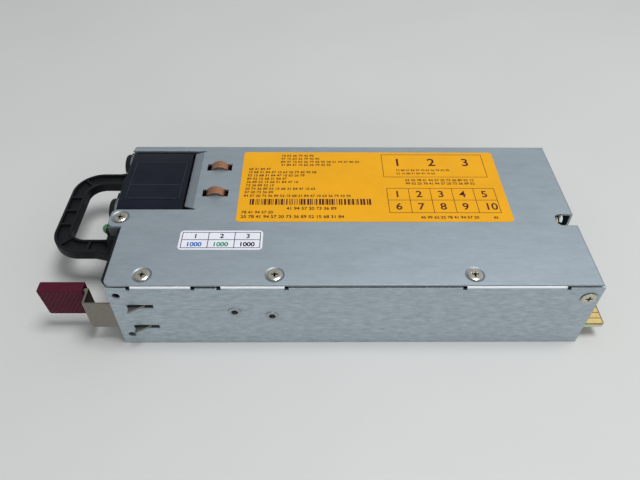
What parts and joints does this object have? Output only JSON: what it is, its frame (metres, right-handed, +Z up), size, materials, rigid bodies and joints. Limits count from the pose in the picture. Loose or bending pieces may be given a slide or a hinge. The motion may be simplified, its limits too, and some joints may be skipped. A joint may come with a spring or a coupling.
{
  "type": "hot swap server power supply",
  "caption": "Flat sheet steel power supply module with a fan bay and loop handle in front, a sprung side latch, a mains inlet and a gilt card edge at the rear.",
  "frame": {"origin": "centre of the underside of the case (the case without handle, latch and card edge)", "axes": "+X towards the card edge, +Y away from the latch side wall, +Z up through the labelled cover"},
  "size_m": [0.2384, 0.0894, 0.0402],
  "materials": {
    "zinc_cover": "hot-dip zinc plated sheet, fine streaks",
    "zinc_tray": "hot-dip zinc plated sheet, fine spangle and streaks",
    "nickel_screw": "satin nickel",
    "copper_strip": "bright copper",
    "black_plastic": "fine matt moulded",
    "black_film": "smooth polyester film",
    "green_lens": "tinted clear acrylic",
    "pin_metal": "nickel plate",
    "spring_steel": "stainless spring strip",
    "burgundy_cap": "soft moulded nylon",
    "steel_core": "laminated steel",
    "magnet": "bonded ferrite",
    "green_board": "green solder mask",
    "gold_finger": "hard gold plate",
    "lining_film": "fibre insulating film",
    "ferrite": "dark ferrite",
    "enamel_wire": "enamelled copper wire",
    "capacitor_case": "moulded case",
    "capacitor_can": "sleeved aluminium can",
    "ceramic": "ceramic tube",
    "heatsink": "extruded, plain",
    "amber_label": "printed polyester label",
    "white_label": "printed paper label"
  },
  "bodies": {
    "housing": {"tray": "zinc_tray", "cover": "zinc_cover", "case_screws": "nickel_screw", "ground_clips": "copper_strip", "fan_bracket": "zinc_cover", "front_bezel": "black_plastic", "handle": "black_plastic", "status_lamp": "green_lens", "inlet_body": "black_plastic", "inlet_pins": "pin_metal", "latch_anchor": "spring_steel", "latch_rivets": "pin_metal", "fan_frame": "black_plastic", "fan_film": "black_film", "fan_stator": "steel_core", "fan_bearings": "pin_metal", "fan_screws": "nickel_screw", "main_board": "green_board", "edge_contacts": "gold_finger", "board_standoffs": "pin_metal", "board_screws": "nickel_screw", "insulating_sheet": "lining_film", "filter_choke_cores": "ferrite", "filter_choke_windings": "enamel_wire", "boost_choke_core": "ferrite", "boost_choke_winding": "enamel_wire", "filter_capacitor": "capacitor_case", "mains_fuse": "ceramic", "bulk_capacitor": "capacitor_can", "primary_heatsink": "heatsink", "secondary_heatsink": "heatsink", "primary_switches": "black_plastic", "bridge_rectifier": "black_plastic", "output_rectifiers": "black_plastic", "transformer_core": "ferrite", "transformer_winding": "enamel_wire", "standby_core": "ferrite", "standby_winding": "enamel_wire", "output_choke_core": "ferrite", "output_choke_winding": "enamel_wire", "output_capacitors": "capacitor_can", "output_busbars": "copper_strip", "control_board": "green_board", "rating_label": "amber_label", "inspection_label": "white_label"},
    "latch": {"latch_arm": "spring_steel", "latch_cap": "burgundy_cap"},
    "rotor": {"impeller": "black_plastic", "magnet_ring": "magnet", "fan_shaft": "pin_metal"}
  },
  "joints": [
    {"name": "latch_flex", "type": "hinge", "parent": "housing", "child": "latch", "pos_m": [-0.05125, -0.0414, 0], "axis": [0, 0, -1], "range_deg": [0, 5], "stiffness_Nm_per_rad": 2},
    {"name": "fan_spin", "type": "hinge", "parent": "housing", "child": "rotor", "pos_m": [-0.095, 0.019, 0.0191], "axis": [1, 0, 0], "continuous": true}
  ]
}
